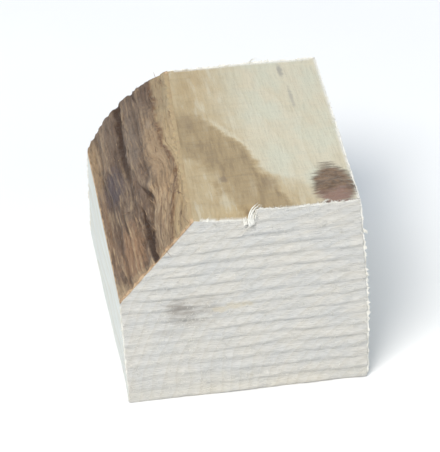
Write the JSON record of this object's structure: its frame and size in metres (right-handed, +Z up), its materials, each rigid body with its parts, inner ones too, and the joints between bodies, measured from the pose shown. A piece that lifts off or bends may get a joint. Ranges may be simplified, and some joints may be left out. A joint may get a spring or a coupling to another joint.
{
  "type": "smoking wood chunk",
  "caption": "Short block of pale rough-sawn hardwood, ends cut across the grain, one long corner left round with its bark. Burned slowly to flavour food in a smoker.",
  "frame": {"origin": "centre of the bounding box in X and Y, at the height of the flat sawn underside", "axes": "+Y along the grain, from the sawn end shown in the picture towards the other end; +Z up, out of the top sawn face; +X across the chunk, away from the bark corner, which is at -X and +Z"},
  "size_m": [0.0516, 0.0616, 0.0442],
  "materials": {
    "wood": "dry rough-sawn pale hardwood, fuzzy saw ridges on the ends, tan stain on the top face",
    "bark": "grey-brown fissured bark with orange-brown torn inner fibre"
  },
  "bodies": {
    "root": {"wood_chunk": "wood"}
  },
  "joints": []
}
